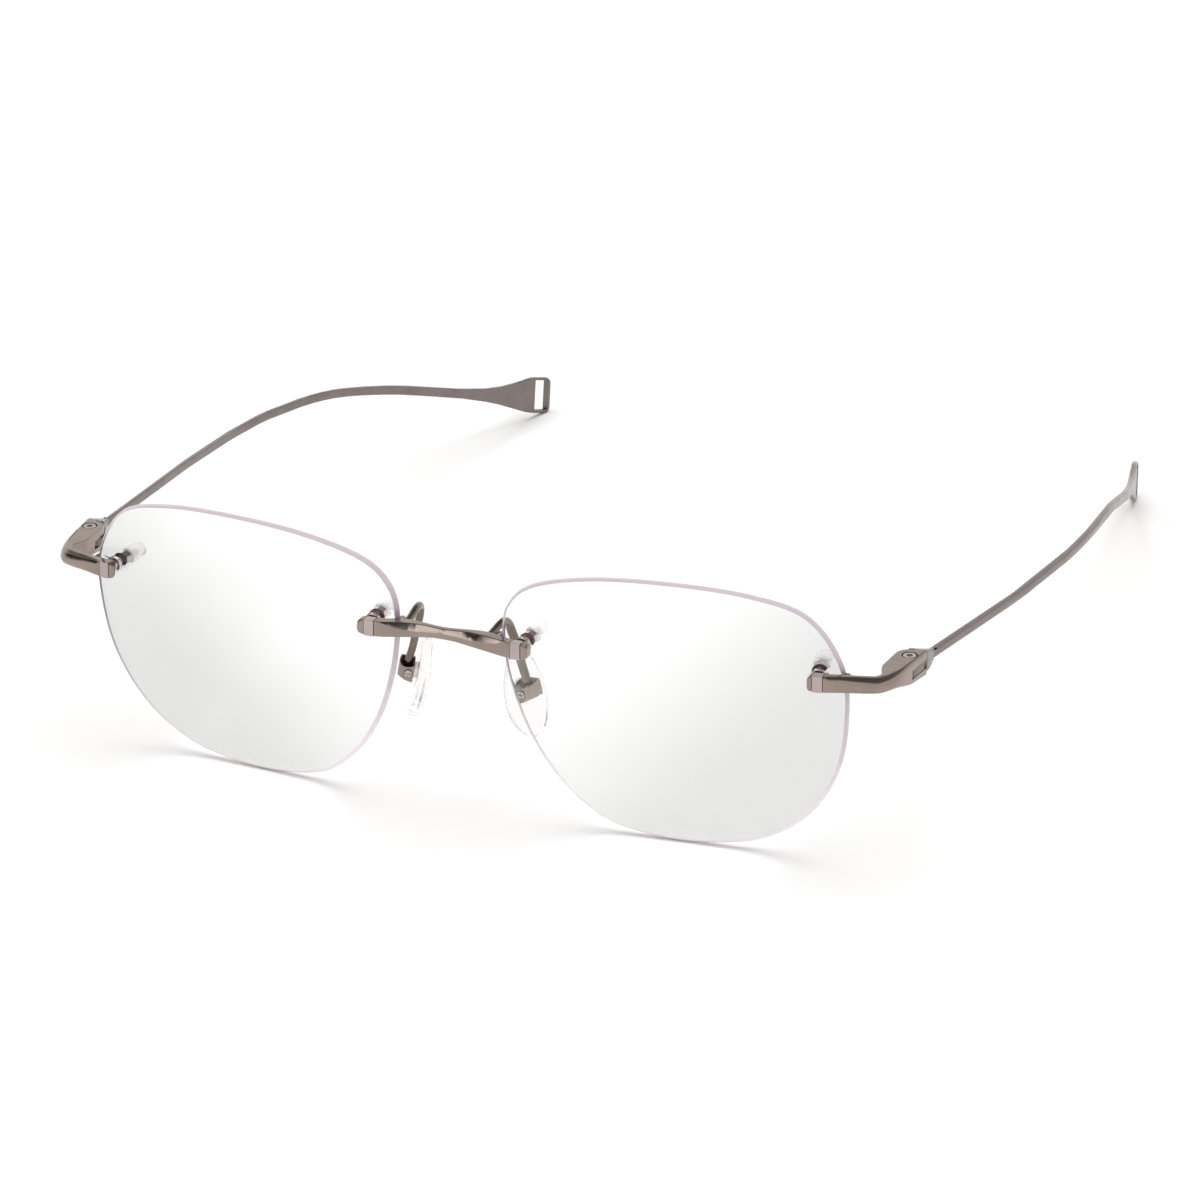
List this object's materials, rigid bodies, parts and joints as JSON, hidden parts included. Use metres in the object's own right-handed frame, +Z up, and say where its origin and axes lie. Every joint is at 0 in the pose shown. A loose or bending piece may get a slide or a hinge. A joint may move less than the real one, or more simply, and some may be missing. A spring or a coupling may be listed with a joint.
{
  "type": "rimless eyeglasses",
  "caption": "Rimless eyeglasses: soft-cornered clear lenses on a slim pewter bridge and endpieces, folding thin temples with slotted paddle tips, rocking clear nose pads.",
  "frame": {"origin": "centre of the open glasses' bounding box, on the plane the lenses and temple tips stand on", "axes": "+X to the wearer's left, +Y from the lenses back along the temples, +Z up"},
  "size_m": [0.1406, 0.1666, 0.0428],
  "materials": {
    "lens_clear": "polished, coated",
    "pewter_metal": "satin",
    "temple_metal": "satin",
    "band_metal": "polished",
    "chrome_metal": "polished",
    "clear_plastic": "clear, glossy"
  },
  "bodies": {
    "front": {"lens_left": "lens_clear", "lens_right": "lens_clear", "bridge": "pewter_metal", "bridge_band_left": "band_metal", "bridge_band_right": "band_metal", "endpiece_left": "pewter_metal", "endpiece_band_left": "band_metal", "endpiece_right": "pewter_metal", "endpiece_band_right": "band_metal", "bridge_stud_left": "chrome_metal", "bridge_rear_washer_left": "chrome_metal", "bridge_hex_nut_left": "chrome_metal", "bridge_stud_cap_left": "clear_plastic", "bridge_stud_right": "chrome_metal", "bridge_rear_washer_right": "chrome_metal", "bridge_hex_nut_right": "chrome_metal", "bridge_stud_cap_right": "clear_plastic", "endpiece_stud_left": "chrome_metal", "endpiece_rear_washer_left": "chrome_metal", "endpiece_hex_nut_left": "chrome_metal", "endpiece_stud_cap_left": "clear_plastic", "endpiece_stud_right": "chrome_metal", "endpiece_rear_washer_right": "chrome_metal", "endpiece_hex_nut_right": "chrome_metal", "endpiece_stud_cap_right": "clear_plastic", "hinge_screw_left": "chrome_metal", "pad_arm_left": "pewter_metal", "pad_box_left": "pewter_metal", "pad_screw_left": "chrome_metal", "hinge_screw_right": "chrome_metal", "pad_arm_right": "pewter_metal", "pad_box_right": "pewter_metal", "pad_screw_right": "chrome_metal"},
    "temple_left": {"temple_left": "temple_metal"},
    "temple_right": {"temple_right": "temple_metal"},
    "nose_pad_left": {"nose_pad_left": "clear_plastic", "pad_mount_left": "chrome_metal"},
    "nose_pad_right": {"nose_pad_right": "clear_plastic", "pad_mount_right": "chrome_metal"}
  },
  "joints": [
    {"name": "temple_left_hinge", "type": "hinge", "parent": "front", "child": "temple_left", "pos_m": [0.0653, -0.06643, 0.0294], "axis": [0, 0, 1], "range_deg": [0, 88]},
    {"name": "temple_right_hinge", "type": "hinge", "parent": "front", "child": "temple_right", "pos_m": [-0.0653, -0.06643, 0.0294], "axis": [0, 0, -1], "range_deg": [0, 82]},
    {"name": "nose_pad_left_rock", "type": "hinge", "parent": "front", "child": "nose_pad_left", "pos_m": [0.00925, -0.07469, 0.0196], "axis": [0.4134, 0.9063, 0.0879], "range_deg": [-6, 6]},
    {"name": "nose_pad_right_rock", "type": "hinge", "parent": "front", "child": "nose_pad_right", "pos_m": [-0.00925, -0.07469, 0.0196], "axis": [-0.4134, 0.9063, 0.0879], "range_deg": [-6, 6]}
  ]
}
